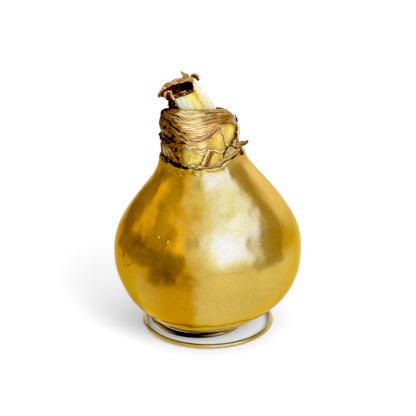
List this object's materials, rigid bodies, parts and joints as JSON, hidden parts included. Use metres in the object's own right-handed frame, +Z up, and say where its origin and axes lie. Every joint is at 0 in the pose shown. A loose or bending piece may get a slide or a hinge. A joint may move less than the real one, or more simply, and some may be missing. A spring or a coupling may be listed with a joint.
{
  "type": "waxed flower bulb",
  "caption": "Waxed amaryllis bulb on a flat coiled wire stand, with dry papery scales round its neck, a cut leaf base, a withered leaf and a pale leaf blade.",
  "frame": {"origin": "centre of the overall outline, on the plane that the wire stand rests on", "axes": "+Z up from the wire stand through the bulb to the leaves, -Y to the front, where the cut leaf base and the windows in the dry scales face, +X to the right seen from the front"},
  "size_m": [0.0941, 0.0941, 0.1323],
  "materials": {
    "flesh": "smooth yellow-green bulb flesh, satin",
    "gold_wax": "metallic gold wax with fine mica sparkle, satin",
    "wire_steel": "bright drawn steel wire",
    "dry_scale": "dry papery tan skin with fine brown lines, satin",
    "dark_scale": "dark brown crumpled skin with gold highlights, satin",
    "pale_scale": "thin pale straw skin, satin",
    "cut_leaf": "moist pale green to yellow cut leaf base",
    "dead_leaf": "withered black-brown leaf with tan edges, matt",
    "white_leaf": "cream-white leaf, satin"
  },
  "bodies": {
    "root": {"bulb": "flesh", "wax_coat": "gold_wax", "wire_stand": "wire_steel", "tunic_collar": "dry_scale", "tunic_left": "dark_scale", "tunic_rim": "dry_scale", "tunic_strip": "pale_scale", "tunic_flap": "pale_scale", "leaf_stub": "cut_leaf", "withered_leaf": "dead_leaf", "leaf_blade": "white_leaf"}
  },
  "joints": []
}
